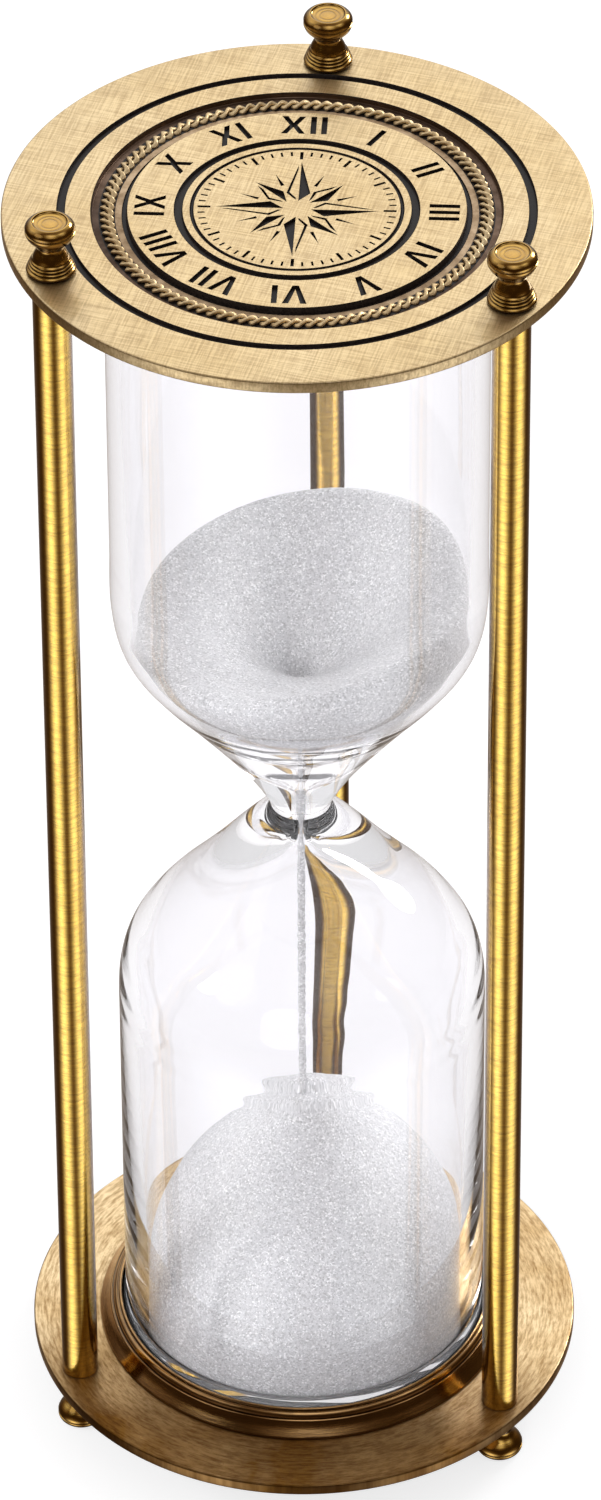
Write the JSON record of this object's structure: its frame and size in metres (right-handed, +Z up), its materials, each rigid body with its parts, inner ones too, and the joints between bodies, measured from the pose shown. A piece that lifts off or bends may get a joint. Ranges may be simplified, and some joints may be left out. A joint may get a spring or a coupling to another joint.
{
  "type": "hourglass",
  "caption": "Sand timer: clear glass bulb with a narrow neck and white sand, between round engraved brass plates on columns with turned screw knobs as feet.",
  "frame": {"origin": "on the surface the three feet stand on, below the axis of the glass", "axes": "+Z up along the axis of the glass; +Y towards the back column, so the other two columns are at the front left and front right"},
  "size_m": [0.091, 0.091, 0.2445],
  "materials": {
    "plate_brass": "brushed, engraved, grooves filled black",
    "column_brass": "turned and brushed round, bright",
    "antique_brass": "antiqued, dark in the recesses",
    "stud_steel": "plain threaded rod",
    "pad_rubber": "matt black",
    "plug_rubber": "matt white",
    "clear_glass": "clear, fire polished",
    "white_sand": "fine dry grains with a cool sparkle"
  },
  "bodies": {
    "frame": {"top_plate": "plate_brass", "bottom_plate": "antique_brass", "column_back": "column_brass", "column_left": "column_brass", "column_right": "column_brass", "seat_ring_bottom": "antique_brass", "seat_ring_top": "antique_brass", "pad_bottom": "pad_rubber", "pad_top": "pad_rubber", "glass_bulb": "clear_glass", "fill_plug": "plug_rubber", "stud_bottom_back": "stud_steel", "stud_bottom_left": "stud_steel", "stud_bottom_right": "stud_steel", "sand_upper_bed": "white_sand", "sand_lower_heap": "white_sand", "sand_stream": "white_sand"},
    "upper_sand": {"sand_upper_level": "white_sand"},
    "top_stud_back": {"stud_top_back": "stud_steel"},
    "top_stud_left": {"stud_top_left": "stud_steel"},
    "top_stud_right": {"stud_top_right": "stud_steel"},
    "top_knob_back": {"knob_top_back": "antique_brass"},
    "top_knob_left": {"knob_top_left": "antique_brass"},
    "top_knob_right": {"knob_top_right": "antique_brass"},
    "foot_back": {"knob_bottom_back": "antique_brass"},
    "foot_left": {"knob_bottom_left": "antique_brass"},
    "foot_right": {"knob_bottom_right": "antique_brass"}
  },
  "joints": [
    {"name": "sand_level", "type": "slide", "parent": "frame", "child": "upper_sand", "axis": [0, 0, 1], "range_m": [0, 0.0248], "deforming": ["sand_upper_bed", "sand_lower_heap", "sand_stream"]},
    {"name": "knob_back_travel", "type": "slide", "parent": "frame", "child": "top_stud_back", "axis": [0, 0, 1], "range_m": [0, 0.005]},
    {"name": "knob_left_travel", "type": "slide", "parent": "frame", "child": "top_stud_left", "axis": [0, 0, 1], "range_m": [0, 0.005]},
    {"name": "knob_right_travel", "type": "slide", "parent": "frame", "child": "top_stud_right", "axis": [0, 0, 1], "range_m": [0, 0.005]},
    {"name": "knob_back_turn", "type": "hinge", "parent": "top_stud_back", "child": "top_knob_back", "pos_m": [0, 0.0407, 0.2355], "axis": [0, 0, 1], "range_deg": [0, 3600]},
    {"name": "knob_left_turn", "type": "hinge", "parent": "top_stud_left", "child": "top_knob_left", "pos_m": [-0.03525, -0.02035, 0.2355], "axis": [0, 0, 1], "range_deg": [0, 3600]},
    {"name": "knob_right_turn", "type": "hinge", "parent": "top_stud_right", "child": "top_knob_right", "pos_m": [0.03525, -0.02035, 0.2355], "axis": [0, 0, 1], "range_deg": [0, 3600]},
    {"name": "foot_back_turn", "type": "hinge", "parent": "frame", "child": "foot_back", "pos_m": [0, 0.0407, 0.009], "axis": [0, 0, -1], "range_deg": [0, 360]},
    {"name": "foot_left_turn", "type": "hinge", "parent": "frame", "child": "foot_left", "pos_m": [-0.03525, -0.02035, 0.009], "axis": [0, 0, -1], "range_deg": [0, 360]},
    {"name": "foot_right_turn", "type": "hinge", "parent": "frame", "child": "foot_right", "pos_m": [0.03525, -0.02035, 0.009], "axis": [0, 0, -1], "range_deg": [0, 360]}
  ],
  "couplings": [
    {"joint": "knob_back_turn", "follows": "knob_back_travel", "rad_per_m": 12566},
    {"joint": "knob_left_turn", "follows": "knob_left_travel", "rad_per_m": 12566},
    {"joint": "knob_right_turn", "follows": "knob_right_travel", "rad_per_m": 12566}
  ]
}
